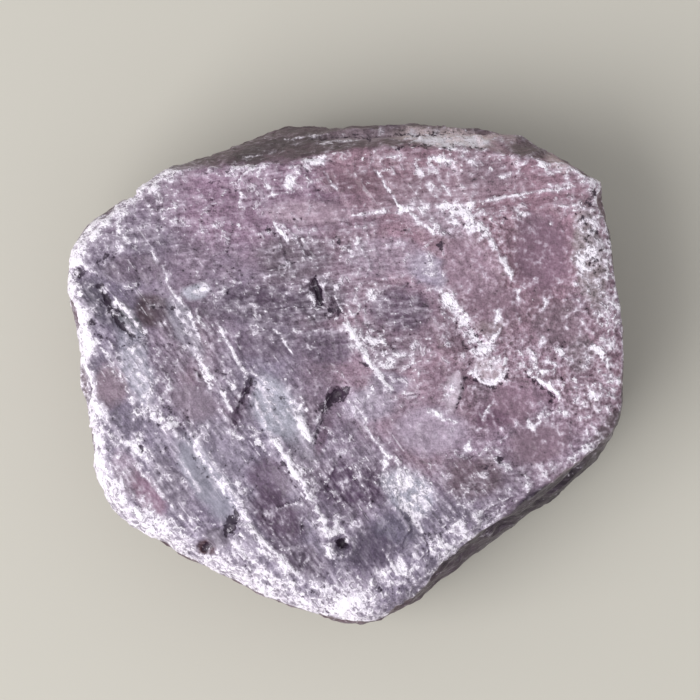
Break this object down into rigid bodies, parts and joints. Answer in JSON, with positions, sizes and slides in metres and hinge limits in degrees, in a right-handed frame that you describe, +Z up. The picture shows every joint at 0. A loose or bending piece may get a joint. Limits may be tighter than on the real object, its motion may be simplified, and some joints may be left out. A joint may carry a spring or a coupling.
{
  "type": "rough ruby",
  "caption": "Rough ruby: a thick, flat-topped slab of a crystal with broken walls and a bruised rim, lying on its flat underside, shown as a mineral specimen.",
  "frame": {"origin": "on the resting face, under the middle of the stone's box", "axes": "+X along the stone's longest side, +Y towards its bevelled back edge, +Z up through its thickness, away from the resting face"},
  "size_m": [0.0644, 0.0588, 0.0213],
  "materials": {
    "ruby": "dusty mauve rough ruby with a waxy, satin broken surface, white bruised edges and white flecks and scratches"
  },
  "bodies": {
    "root": {"rough_ruby": "ruby"}
  },
  "joints": []
}
